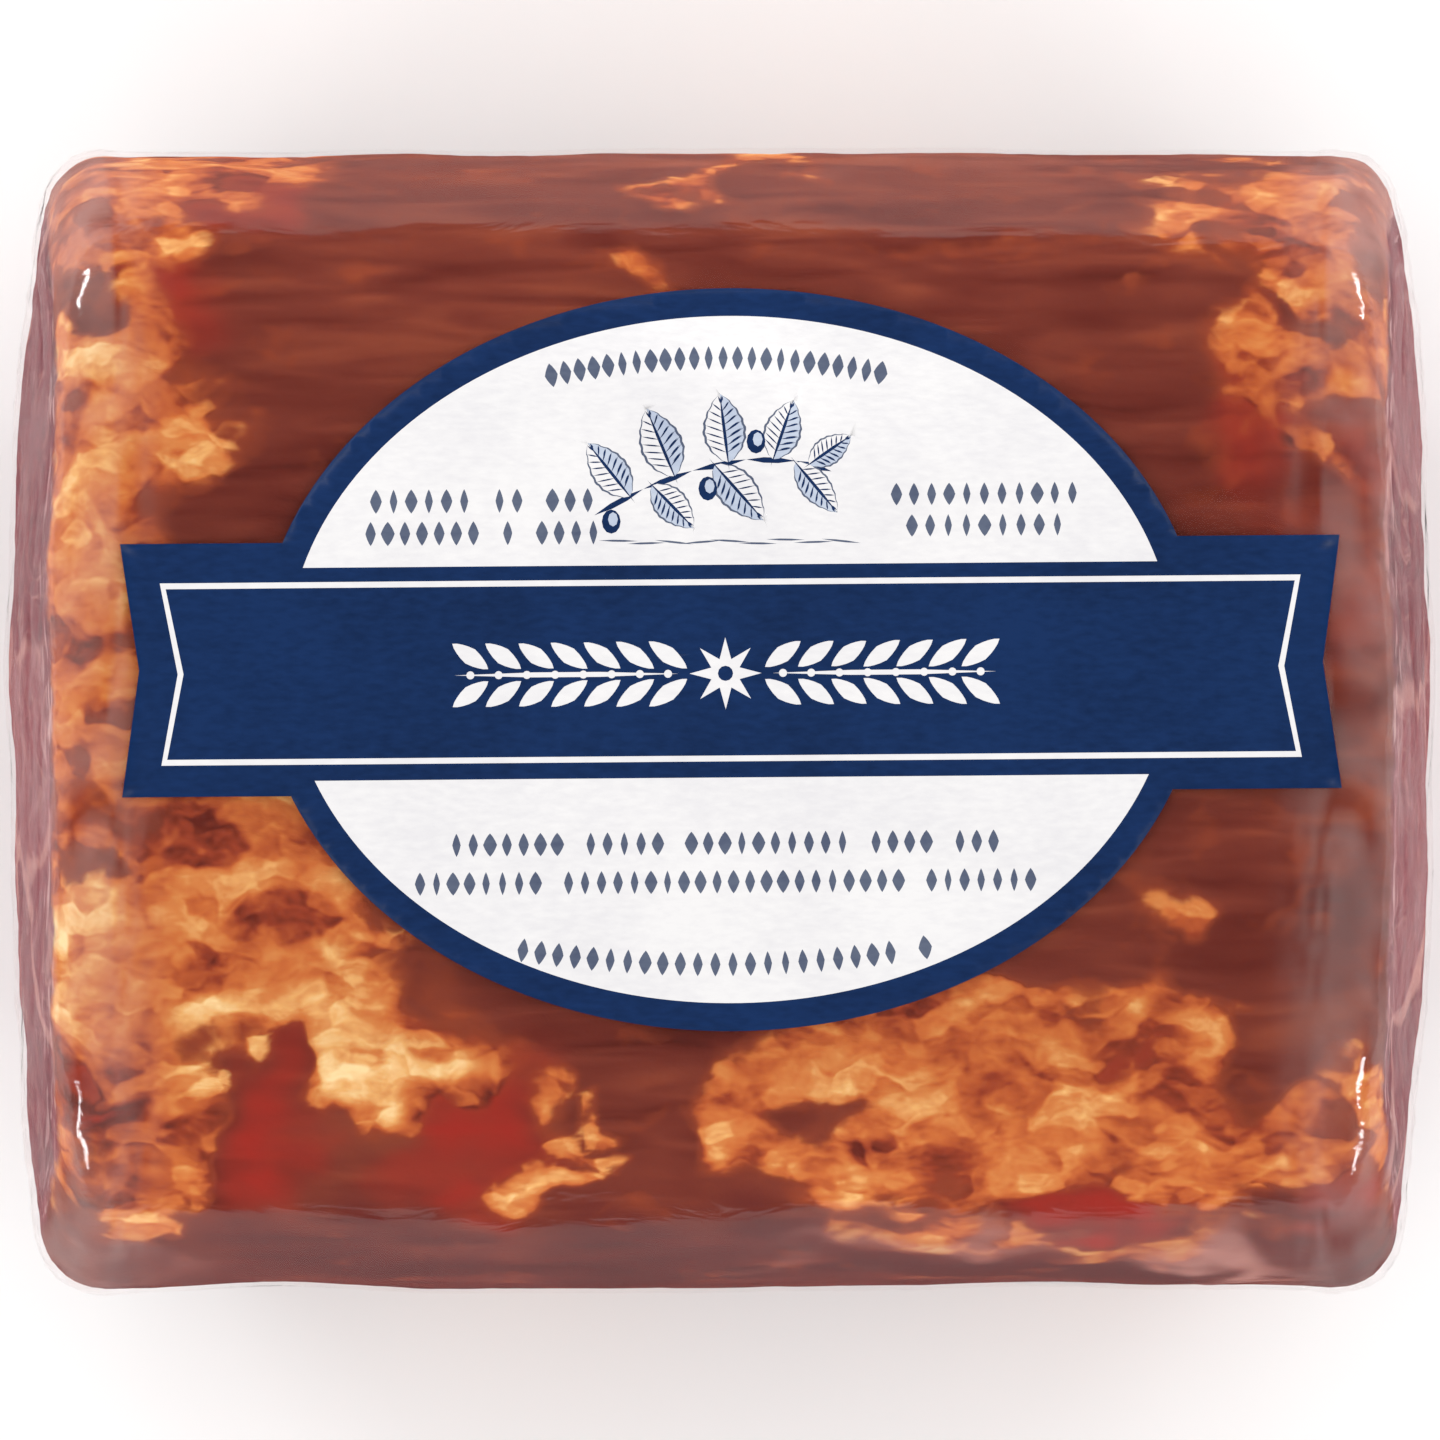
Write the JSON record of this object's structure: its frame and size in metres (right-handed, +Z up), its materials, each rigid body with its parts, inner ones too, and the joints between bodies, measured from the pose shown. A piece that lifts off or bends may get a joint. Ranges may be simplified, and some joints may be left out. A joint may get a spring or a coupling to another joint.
{
  "type": "smoked ham",
  "caption": "Boneless smoked ham joint cut square at both ends, drawn into clear film and carrying an oval-and-ribbon printed label on top.",
  "frame": {"origin": "on the surface that the joint lies on, under the middle of the joint", "axes": "+X along the joint from one cut end to the other, +Y across it towards the side with the film's folded seal, +Z up through the label"},
  "size_m": [0.165, 0.132, 0.0985],
  "materials": {
    "meat": "smoked brown lean with orange fat outside, moist pink lean at the cut ends",
    "clear_film": "clear, glossy, drawn tight",
    "label_print": "satin, navy and off-white print"
  },
  "bodies": {
    "root": {"ham": "meat", "film": "clear_film", "label": "label_print"}
  },
  "joints": []
}
